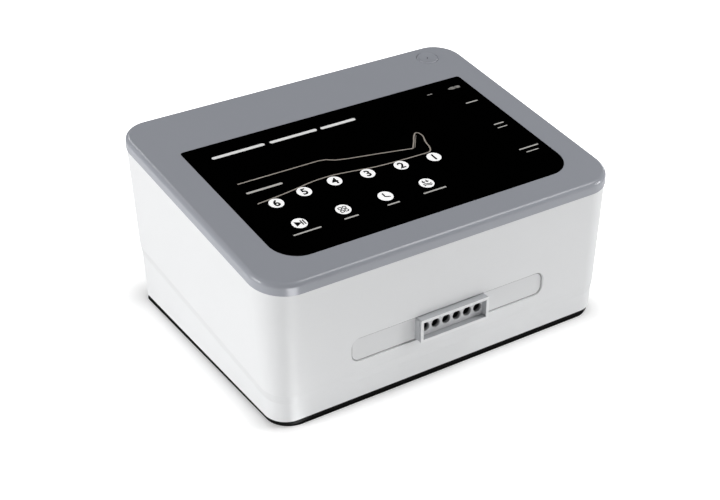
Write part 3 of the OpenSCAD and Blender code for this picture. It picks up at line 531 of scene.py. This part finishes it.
class PowerButton(bpy.types.Operator):
    """Finish the power button and print its mark"""
    bl_idname = "pump.power_button"
    bl_label = "Power button"

    def execute(self, context):
        # ABS, the bezel's grey from another tool: a finer grain, so the dish looks a shade smoother.
        cap = moulded("grey ABS, fine satin", context.scene.colours.button, 0.3, 1.53, grain=0.5, depth=0.004,
            tone=0.01)
        smooth_copy("button_cap", "power_button", cap, sharp=40, body="button")
        # Pad print in a darker grey: matt, it only just shows against the cap.
        mark = moulded("dark grey pad print", "6F727A", 0.55, 1.5, grain=0.5, depth=0.004, tone=0.03)
        at = to_top(*context.scene.top_face.button)
        strokes = [ink_line([(-0.9, -1.2), (0, 0), (0.9, 1.2)], width=0.7, thick=0.05 * MM, at=at, soft=False,
            lift=self.dish)]
        join("button_mark", strokes, mark, "button")
        return {"FINISHED"}

    def dish(self, radius):
        """Height of the button's dished face over the bezel at this distance from its middle."""
        rim, drop, across = 0.36, 0.45, 6.4
        return (rim - drop * math.cos(math.pi / 2 * min(1.0, radius / (across * MM)))) * MM


class PrintedKeys(bpy.types.Operator):
    """Print the keys with their numbers and signs"""
    bl_idname = "pump.printed_keys"
    bl_label = "Printed keys"

    def execute(self, context):
        face = context.scene.top_face
        thick = face.ink
        # Screen-printing inks under the clear sheet. The white lets the lamps behind it through, so it glows a little
        # and stays whiter than anything round it; the black is flat.
        white = moulded("backlit white screen ink", "FAFAFA", 0.3, 1.49, grain=0.4, depth=0.001, tone=0.01, patch=20,
            emission_color=(1, 1, 1, 1), emission_strength=0.38)
        black = moulded("black screen ink", "060607", 0.3, 1.49, grain=0.4, depth=0.001, tone=0.05, patch=20)
        discs = bmesh.new()
        for keys, across in ((CHAMBER_KEYS, face.chamber_key), (MENU_KEYS, face.menu_key)):
            for x, up in keys.values():
                pill(discs, to_top(x * MM, up * MM), across / MM, across / MM, thick)
        from_bmesh("key_discs", discs, white, "case")
        join("key_numbers", [figure(text, x * MM, up * MM, face.number_size, thick, thick * PROUD)
            for text, (x, up) in CHAMBER_KEYS.items()], black)

        solids = bmesh.new()
        start = self.over("start", thick)
        bmesh.ops.create_cone(solids, cap_ends=True, segments=3, radius1=3.1 * MM, radius2=3.1 * MM, depth=thick,
            matrix=start @ Matrix.Translation((-1.5 * MM, 0, 0)) @ Matrix.Rotation(-math.pi / 2, 4, "Z"))
        for x in (1.7, 3.4):
            bar(solids, start @ Matrix.Translation((x * MM, 0, 0)), 0.95, 5.2, thick)
        from_bmesh("start_sign", solids, black, "case")

        mode, time, pressure = (self.over(key, thick) for key in ("mode", "time", "pressure"))
        lines = []
        for x, up in ((-1.65, 1.65), (1.65, 1.65), (-1.65, -1.65), (1.65, -1.65)):
            corner = [(x + 1.15 * dx, up + 1.15 * dy) for dx, dy in ((0, 1), (0.82, 0.82), (1, 0), (0.82, -0.82),
                (0, -1), (-0.82, -0.82), (-1, 0), (-0.82, 0.82))]
            lines.append(ink_line(corner, width=0.8, thick=thick, at=mode, closed=True))
        lines.append(ink_line([(-0.5, 3.6), (-0.5, -0.4), (2.9, -1.9)], width=1.3, thick=thick, at=time, soft=False))
        for x in (-1.5, 1.5):
            lines.append(ink_line([(x, 3.7), (x, 0.9)], width=0.9, thick=thick, at=pressure, soft=False))
            lines.append(ink_line([(x - 1.1, 2.0), (x, 0.8), (x + 1.1, 2.0)], width=0.8, thick=thick, at=pressure,
                soft=False))
        for up in (-0.9, -2.4):
            lines.append(ink_line([(-3.2, up), (-1.6, up + 0.5), (0, up), (1.6, up - 0.5), (3.2, up)], width=0.9,
                thick=thick, at=pressure))
        join("key_signs", lines, black)
        return {"FINISHED"}

    def over(self, key, thick):
        """Where a lower key's sign lies: centred on its disc, and just proud of it."""
        x, up = MENU_KEYS[key]
        return to_top(x * MM, up * MM, thick * PROUD)


class LegOutline(bpy.types.Operator):
    """Print the outline of a leg that shows where each air chamber sits"""
    bl_idname = "pump.leg_outline"
    bl_label = "Leg outline"

    def execute(self, context):
        face = context.scene.top_face
        # Warm grey screen ink, thin enough for the black behind it to dull it.
        warm = moulded("warm grey screen ink", "B3ABA2", 0.3, 1.49, grain=0.4, depth=0.001, tone=0.08, patch=12)
        at = to_top(0, 0, -face.ink * SUNK)
        lines = [ink_line(points, width=face.outline / MM, thick=face.ink, at=at, soft=soft)
            for points, soft in ((LEG_ABOVE, False), (FOOT, True), (LEG_BELOW, True))]
        lines.append(ink_line(HEEL, width=0.6, thick=face.ink, at=at, soft=False))
        join("leg_outline", lines, warm)
        return {"FINISHED"}


class LabelBars(bpy.types.Operator):
    """Print the plain bars over, under and beside the keys"""
    bl_idname = "pump.label_bars"
    bl_label = "Label bars"

    def execute(self, context):
        thick = context.scene.top_face.ink
        # White screen ink for the large label; the small ones print thinner, so greyer. Each ink also glows faintly
        # in its own colour: painted light that keeps the bars bright.
        for name, bars, colour in (("title_bars", TITLE_BARS, "E4E4E3"), ("label_bars", LABEL_BARS, "B9B7B3"),
                ("status_marks", STATUS_BARS, "8C8A87")):
            shape = bmesh.new()
            for x, up, width, height in bars:
                pill(shape, to_top(x * MM, up * MM), width, height, thick, 24)
            ink = moulded(name.replace("_", " ") + " ink", colour, 0.3, 1.49, grain=0.4, depth=0.001, tone=0.03,
                patch=15, emission_color=linear(colour), emission_strength=0.25)
            from_bmesh(name, shape, ink, "case")
        return {"FINISHED"}


class AirSocket(bpy.types.Operator):
    """Finish the six-port air socket and the plate round it"""
    bl_idname = "pump.air_socket"
    bl_label = "Air socket"
    # The plate's middle, its half sizes, and the corner radius of its drawn outline. Depth, along Y, doesn't count.
    plate_middle = (0, 0, 0.0432)
    plate_half = (0.0782, 1.0, 0.00875)
    plate_corner = 0.006
    # Where the rim's painted highlight ends, and where the block's pale face fades into the painted shade of the
    # ports, from front to rear.
    rim_highlight_depth = (-0.10575, -0.1056)
    port_shade_depth = (-0.1013, -0.0985)

    def execute(self, context):
        # The plate is the shell's ABS from a polished tool: it looks a touch smoother than the wall round it.
        plate = moulded("white ABS, polished", "EAEBEC", 0.32, 1.53, depth=0.003, tone=0.006)
        # A thin painted shadow is laid round the plate's edge, where it meets the joint.
        self.paint_edge_shadow(plate)
        eased_copy("socket_plate", "connector_plate", plate, radius=0.28)
        # Grey ABS with sharp mould edges, each with a hairline radius that catches the light. Its rim's front is
        # painted much paler: a painted highlight.
        socket = moulded("grey ABS, pale polished rim", context.scene.colours.socket, 0.36, 1.53, grain=0.6,
            depth=0.004, tone=0.01)
        self.paint_light_by_depth(socket, "F6F7F8", *self.rim_highlight_depth)
        eased_copy("socket_shroud", "air_socket", socket, radius=0.2)
        # Acetal block behind it: slightly waxy and pale at its face; the ports are painted darker as they go down to
        # the seals, painted shade in the bores.
        block = moulded("grey acetal, waxy", "17181A", 0.42, 1.48, grain=0.8, depth=0.004)
        self.paint_light_by_depth(block, "DCDDDF", *self.port_shade_depth)
        smooth_copy("port_face", "port_block", block)
        return {"FINISHED"}

    def paint_edge_shadow(self, mat):
        """Painted shadow: the plate's edge drops into the joint round it, where shade falls, so a thin grey outline
        is painted along it. It starts at inside's first distance from the edge, and is full from the second on."""
        inside = (0.7 * MM, 0.35 * MM)
        darkest = 0.32
        spot = node(mat, "ShaderNodeVectorMath", {0: node(mat, "ShaderNodeTexCoord").outputs["Object"],
            1: self.plate_middle}, operation="SUBTRACT")
        far = from_core(mat, spot.outputs[0], self.plate_half, (self.plate_corner,) * 3)
        line = node(mat, "ShaderNodeMapRange", {0: far, 1: self.plate_corner - inside[0],
            2: self.plate_corner - inside[1], 3: 1.0, 4: darkest})
        shade(mat, line.outputs[0])

    def paint_light_by_depth(self, mat, front, first, last):
        """Painted light along Y: this colour up to first, then fading to the material's own by last. It paints the
        socket rim's highlight and the shade deep in the ports.
        """
        spot = node(mat, "ShaderNodeSeparateXYZ", {0: node(mat, "ShaderNodeTexCoord").outputs["Object"]})
        depth = node(mat, "ShaderNodeMapRange", {0: spot.outputs["Y"], 1: first, 2: last})
        shader, own = own_colour(mat)
        tint = node(mat, "ShaderNodeMix", {0: depth.outputs[0], 6: linear(front), 7: own}, data_type="RGBA")
        feed(mat, shader, base_color=tint.outputs[2])


class Base(bpy.types.Operator):
    """Finish the black base, its feet and the rubber parts"""
    bl_idname = "pump.base"
    bl_label = "Base and rubber"

    def execute(self, context):
        # Black ABS, coarse spark-eroded underside: matt, greyish where it meets the light.
        base = moulded("black ABS, coarse matt", context.scene.colours.base, 0.8, 1.53, grain=0.9, depth=0.03,
            tone=0.06, specular_ior_level=0.15)
        smooth_copy("base", "base_cover", base, sharp=30)
        # Soft moulded rubber: dead matt, a bloom of grey.
        rubber = moulded("moulded nitrile rubber", "232324", 0.8, 1.52, grain=1.2, depth=0.03, tone=0.12, patch=15)
        for name, source in (("feet", "rubber_feet"), ("pump_rubbers", "pump_mounts")):
            smooth_copy(name, source, rubber)
        dress(rubber, "diaphragms")
        return {"FINISHED"}


class Displays(bpy.types.Operator):
    """Finish the display board, its displays, lamps and the switch"""
    bl_idname = "pump.displays"
    bl_label = "Displays and switch"

    def execute(self, context):
        # Glass-epoxy boards under green solder mask: paler conductors, tinned pads at 2.54 mm.
        board = printed_board("glass-epoxy board, green solder mask", "0F4A2B", "2A7A4C")
        dress(board, "display_board", "switch_board", "main_board")
        # Paper-phenolic board: tan, its dark conductors lie on the far side and show through.
        phenolic = printed_board("paper-phenolic board", "A07A45", "8A6436", hole=5.08)
        dress(phenolic, "power_supply_board")
        # Polybutylene terephthalate: the hard black of switches, displays and frames, faintly glossy.
        black = moulded("black glass-filled PBT", "1B1C1E", 0.4, 1.57, grain=0.6, tone=0.1, patch=20)
        dress(black, "digit_displays", "power_switch", "switch_plunger", "mains_inlet", "pump_frame", "valve_boxes")
        # Opal acrylic tube: milky, so a lamp fills it with even light.
        opal = moulded("opal acrylic", "EFEFE9", 0.25, 1.49, grain=1.0, depth=0.002, patch=20,
            subsurface_weight=0.3, subsurface_scale=0.004)
        smooth_copy("key_light_guides", "light_guides", opal)
        # Clear epoxy over a phosphor chip: glossy cream.
        lamp = moulded("phosphor lamp resin", "F3EBC4", 0.12, 1.54, grain=0.8, depth=0.001, tone=0.05, patch=4,
            coat_weight=0.6)
        dress(lamp, "key_lamps")
        # Transfer-moulded epoxy of chips and relays: charcoal, speckled with silica.
        epoxy = moulded("black transfer-moulded epoxy", "202124", 0.5, 1.55, grain=0.35, depth=0.02, tone=0.2,
            patch=6)
        dress(epoxy, "board_components")
        return {"FINISHED"}


class Supply(bpy.types.Operator):
    """Finish the mains inlet, the transformer and the capacitors"""
    bl_idname = "pump.supply"
    bl_label = "Power supply"

    def execute(self, context):
        # Polyester tape round the transformer: yellow film with the lap of each turn showing every 5 mm.
        tape = layered("yellow polyester tape", ("A88A1E", "D9BC3F"), "Z", pitch=5.0, roughness=0.28, depth=0.05,
            ior=1.6, wander=0.1)
        dress(tape, "supply_transformer")
        # Heat-shrunk PVC sleeve: dark blue, glossy, slightly rippled.
        sleeve = moulded("blue PVC sleeve", "1B2A63", 0.22, 1.53, grain=6.0, depth=0.05, tone=0.05, patch=12)
        smooth_copy("capacitor_sleeves", "supply_capacitors", sleeve)
        # Turned brass pins and hose tails: yellow, with fine rings from the lathe.
        brass = metal("turned brass", "E0C27A", 0.24, lines=(1, 8, 1), grain=0.4, depth=0.006)
        smooth_copy("pins", "inlet_pins", brass)
        smooth_copy("port_tails", "port_barbs", brass, sharp=25)
        smooth_copy("manifold_tails", "manifold_barbs", brass, sharp=25)
        return {"FINISHED"}


class AirPump(bpy.types.Operator):
    """Finish the electromagnetic pump"""
    bl_idname = "pump.air_pump"
    bl_label = "Air pump"

    def execute(self, context):
        # Silicon-steel stampings stacked upwards: real sheets are 0.5 mm, drawn 0.9 mm so that they show.
        stack = layered("stacked silicon steel", ("4A4B4D", "8E8F92"), "Z", pitch=0.9, roughness=0.38, depth=0.06,
            metallic=1.0)
        dress(stack, "magnet_cores")
        # Enamelled copper wire wound round the limbs: real wire is 0.3 mm, drawn 0.8 mm so that it shows.
        wire = layered("enamelled copper winding", ("5E2E12", "C4743F"), "Y", pitch=0.8, roughness=0.3, depth=0.12,
            metallic=0.8)
        dress(wire, "magnet_coils")
        # Mild steel bar, ground along its length.
        ground = metal("ground mild steel", "9A9B9D", 0.3, lines=(0.05, 1, 1), grain=0.4)
        dress(ground, "armature_bar")
        # Sintered ferrite: dark grey, matt, with a fine sparkle.
        ferrite = metal("sintered ferrite", "5C5D62", 0.55, grain=0.3, depth=0.02, tone=0.15)
        dress(ferrite, "armature_magnets")
        # Zinc-plated sheet steel: bluish grey with cloudy patches.
        zinc = metal("zinc-plated sheet steel", "B9BCC0", 0.32, lines=(1, 0.1, 1), grain=0.8, depth=0.008, tone=0.12)
        dress(zinc, "pump_tray", "valve_bracket", "solenoid_valves")
        # Needled polyester felt: off-white tangled fibres, about 1 mm across in the drawing.
        felt = moulded("needled polyester felt", "E4E3DD", 0.95, 1.5, grain=0.9, depth=0.25, tone=0.08, patch=3,
            sheen_weight=0.4)
        dress(felt, "intake_filter")
        return {"FINISHED"}


class HosesAndLeads(bpy.types.Operator):
    """Finish the air hoses, the manifold and the wiring"""
    bl_idname = "pump.hoses_and_leads"
    bl_label = "Hoses and leads"

    def execute(self, context):
        # Extruded silicone: milky, slightly bluish, light sinks into it.
        silicone = moulded("extruded silicone hose", "DDE3E5", 0.38, 1.43, grain=1.5, depth=0.01, tone=0.03, patch=15,
            subsurface_weight=0.25, subsurface_scale=0.003)
        for name, source in (("chamber_hoses", "air_hoses"), ("outlet_hose", "pump_hose"),
                ("outlet_pipe", "pump_pipe")):
            smooth_copy(name, source, silicone)
        # Natural acetal block: off-white and waxy, with the faint lines of the cutter.
        acetal = moulded("natural acetal, milled", "E3E4E0", 0.36, 1.48, grain=1.4, depth=0.008, patch=25,
            subsurface_weight=0.08)
        dress(acetal, "valve_manifold")
        # PVC-insulated wire: black, softly glossy.
        pvc = moulded("black PVC insulation", "19191B", 0.42, 1.53, grain=1.0, depth=0.006, tone=0.1, patch=10)
        for source in ("mains_leads", "supply_leads", "pump_leads", "valve_leads", "switch_lead"):
            smooth_copy(source + "_pvc", source, pvc)
        # Flat cable: grey PVC with a rounded ridge over each conductor, 1.27 mm apart.
        ribbon = layered("grey flat cable", ("8F9094", "C4C5C9"), "X", pitch=1.27, roughness=0.42, depth=0.25,
            ior=1.53, wander=0.0)
        dress(ribbon, "display_ribbon")
        return {"FINISHED"}


class Screws(bpy.types.Operator):
    """Finish the screws"""
    bl_idname = "pump.screws"
    bl_label = "Screws"

    def execute(self, context):
        # Zinc-plated screws: bright, with turned rings on their heads too fine to count.
        plated = metal("zinc-plated screw steel", "A9ABAE", 0.27, lines=(1, 1, 3), grain=0.3, depth=0.008)
        for source in ("base_screws", "bezel_screws", "socket_screws", "board_screws"):
            smooth_copy(source + "_plated", source, plated, sharp=30)
        return {"FINISHED"}


# Each softbox's name, place and side in metres. Its power is the studio setting of that name.
SOFTBOXES = [("side light", (-1.25, 0.15, 0.55), 0.6), ("top light", (0.7, -0.35, 1.25), 0.6),
    ("back light", (-0.14, 1.05, 0.98), 0.35), ("fill light", (1.25, -0.75, 0.45), 0.35),
    ("rim light", (1.15, 0.45, 0.2), 0.3)]
PAPER = "F7F7F7"


class Stage(bpy.types.Operator):
    """Set the pale floor, the soft lights and the camera"""
    bl_idname = "pump.stage"
    bl_label = "Stage"
    floor_half = 4.0
    pump_middle = Vector((0, 0, 0.06))
    # The flag darkens the room wholly within the first angle of its middle, and not at all beyond the second.
    flag_angles = (math.radians(22), math.radians(45))
    # Distances from the base: where the near glow has become the far one, where the far one starts and ends to fade,
    # and where the paper starts and ends to burn out.
    glow_reach = 0.04
    fade_reach = (0.25, 0.6)
    burn_reach = (0.002, 0.05)
    # The base's corner radius goes from the front one to the rear one between these, along Y.
    corner_change = (-0.02, 0.02)
    # The wedge of light: its middle's turn from straight ahead, and its half width where it starts and ends to fade.
    wedge_turn = math.radians(-2.5)
    wedge_half = (math.radians(11), math.radians(18))

    def execute(self, context):
        scene = context.scene
        studio = scene.studio
        shape = bmesh.new()
        bmesh.ops.create_grid(shape, x_segments=1, y_segments=1, size=self.floor_half)
        mesh = to_mesh("floor", shape)
        floor = bpy.data.objects.new("floor", mesh)
        scene.collection.objects.link(floor)
        mesh.materials.append(self.light_table(studio))

        world = bpy.data.worlds.new("studio")
        world.use_nodes = True
        away = node(world, "ShaderNodeVectorMath", {0: node(world, "ShaderNodeTexCoord").outputs["Generated"],
            1: Vector(studio.flag).normalized()}, operation="DOT_PRODUCT")
        shown = node(world, "ShaderNodeMapRange", {0: away.outputs["Value"], 1: math.cos(self.flag_angles[1]),
            2: math.cos(self.flag_angles[0]), 3: studio.room, 4: 0.0}, interpolation_type="SMOOTHSTEP")
        sky = world.node_tree.nodes["Background"]
        sky.inputs["Color"].default_value = (1, 1, 1, 1)
        world.node_tree.links.new(shown.outputs[0], sky.inputs["Strength"])
        scene.world = world
        scene.view_settings.view_transform = "Standard"
        for name, spot, size in SOFTBOXES:
            self.softbox(name, spot, size, getattr(studio, name.replace(" ", "_")))

        back = Vector((math.sin(studio.azimuth) * math.cos(studio.elevation),
            -math.cos(studio.azimuth) * math.cos(studio.elevation), math.sin(studio.elevation)))
        right = Vector((math.cos(studio.azimuth), math.sin(studio.azimuth), 0))
        above = back.cross(right)
        across = right * math.cos(studio.roll) + above * math.sin(studio.roll)
        upward = above * math.cos(studio.roll) - right * math.sin(studio.roll)
        lens = bpy.data.cameras.new("camera")
        lens.lens = studio.lens
        lens.sensor_width = 36
        lens.clip_start = 0.01
        camera = bpy.data.objects.new("camera", lens)
        camera.matrix_world = Matrix.Translation(Vector(studio.aim) + back * studio.distance) @ Matrix(
            (across, upward, back)).transposed().to_4x4()
        scene.collection.objects.link(camera)
        scene.camera = camera
        return {"FINISHED"}

    def light_table(self, studio):
        """Matt white paper over a light table, painted black where the pump covers it so that no light leaks under
        it: a painted shadow. Its glow is weaker beside the pump: a painted contact shadow.
        """
        mat, shader = finish("matt white paper", PAPER, 0.9, 1.45, emission_color=(1, 1, 1, 1))
        spot = node(mat, "ShaderNodeTexCoord").outputs["Object"]
        along = node(mat, "ShaderNodeSeparateXYZ", {0: spot}).outputs["Y"]
        corner = node(mat, "ShaderNodeMapRange", {0: along, 1: self.corner_change[0], 2: self.corner_change[1],
            3: studio.round_front, 4: studio.round_rear}).outputs[0]
        far = from_core(mat, spot, studio.covered, corner)
        gap = node(mat, "ShaderNodeMath", {0: far, 1: corner}, operation="SUBTRACT").outputs[0]
        # Under the pump the paper is painted black and has no glow: a painted shadow.
        clear = node(mat, "ShaderNodeMath", {0: gap, 1: 0.0}, operation="GREATER_THAN").outputs[0]
        # The glow is weaker near the base, rising to the far glow: a painted contact shadow.
        glow = node(mat, "ShaderNodeMapRange", {0: gap, 2: self.glow_reach, 3: studio.near_glow,
            4: studio.far_glow})
        fade = node(mat, "ShaderNodeMapRange", {0: gap, 1: self.fade_reach[0], 2: self.fade_reach[1], 3: 1.0,
            4: 0.0})
        glow = node(mat, "ShaderNodeMath", {0: glow.outputs[0], 1: fade.outputs[0]}, operation="MULTIPLY")
        # The paper burns out to white for the camera only, so that it doesn't flood the walls with light.
        eye = node(mat, "ShaderNodeLightPath").outputs["Is Camera Ray"]
        burnt = node(mat, "ShaderNodeMapRange", {0: gap, 1: self.burn_reach[0], 2: self.burn_reach[1], 3: 0.0,
            4: studio.burn})
        added = node(mat, "ShaderNodeMath", {0: burnt.outputs[0], 1: eye, 2: glow.outputs[0]},
            operation="MULTIPLY_ADD")
        # A wedge of light in front of the front left corner, seen in reflections only: the streak down the corner.
        centre = node(mat, "ShaderNodeVectorMath", {0: spot, 1: studio.wedge}, operation="SUBTRACT")
        part = node(mat, "ShaderNodeSeparateXYZ", {0: centre.outputs[0]})
        ahead = node(mat, "ShaderNodeMath", {0: part.outputs["Y"], 1: -1.0}, operation="MULTIPLY")
        turn = node(mat, "ShaderNodeMath", {0: part.outputs["X"], 1: ahead.outputs[0]}, operation="ARCTAN2")
        off = node(mat, "ShaderNodeMath", {0: turn.outputs[0], 1: self.wedge_turn}, operation="SUBTRACT")
        wide = node(mat, "ShaderNodeMath", {0: off.outputs[0]}, operation="ABSOLUTE")
        streak = node(mat, "ShaderNodeMapRange", {0: wide.outputs[0], 1: self.wedge_half[0],
            2: self.wedge_half[1], 3: studio.streak, 4: 0.0})
        mirrored = node(mat, "ShaderNodeLightPath").outputs["Is Glossy Ray"]
        both = node(mat, "ShaderNodeMath", {0: streak.outputs[0], 1: mirrored, 2: added.outputs[0]},
            operation="MULTIPLY_ADD")
        shown = node(mat, "ShaderNodeMath", {0: both.outputs[0], 1: clear}, operation="MULTIPLY")
        paper = node(mat, "ShaderNodeMix", {0: clear, 6: (0, 0, 0, 1), 7: linear(PAPER)}, data_type="RGBA")
        feed(mat, shader, emission_strength=shown.outputs[0], base_color=paper.outputs[2])
        return mat

    def softbox(self, name, spot, size, power):
        """A square soft light that faces the middle of the pump."""
        light = bpy.data.lights.new(name, "AREA")
        light.size = size
        light.energy = power
        lamp = bpy.data.objects.new(name, light)
        lamp.location = spot
        lamp.rotation_euler = (Vector(spot) - self.pump_middle).to_track_quat("Z", "Y").to_euler()
        bpy.context.scene.collection.objects.link(lamp)


OPERATORS = (WhiteShell, GreyBezel, TouchPanel, PowerButton, PrintedKeys, LegOutline, LabelBars, AirSocket, Base,
    Displays, Supply, AirPump, HosesAndLeads, Screws, Stage)
SETTINGS = {"top_face": TopFace, "colours": Colours, "studio": Studio}


class PumpPanel(bpy.types.Panel):
    """The pump's pieces and settings in the 3D view's sidebar"""
    bl_idname = "VIEW3D_PT_air_pump"
    bl_label = "Air compression pump"
    bl_space_type = "VIEW_3D"
    bl_region_type = "UI"
    bl_category = "Air pump"

    def draw(self, context):
        for operator in OPERATORS:
            self.layout.operator(operator.bl_idname)
        for name, group in SETTINGS.items():
            box = self.layout.box()
            for key in group.__annotations__:
                box.prop(getattr(context.scene, name), key)


def register():
    for kind in (*SETTINGS.values(), *OPERATORS, PumpPanel):
        bpy.utils.register_class(kind)
    for name, group in SETTINGS.items():
        setattr(bpy.types.Scene, name, bpy.props.PointerProperty(type=group))


def unregister():
    for name in SETTINGS:
        delattr(bpy.types.Scene, name)
    for kind in (PumpPanel, *reversed(OPERATORS), *SETTINGS.values()):
        bpy.utils.unregister_class(kind)


def main():
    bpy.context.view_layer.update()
    register()
    for operator in OPERATORS:
        group, name = operator.bl_idname.split(".")
        getattr(getattr(bpy.ops, group), name)()


if __name__ == "__main__":
    main()
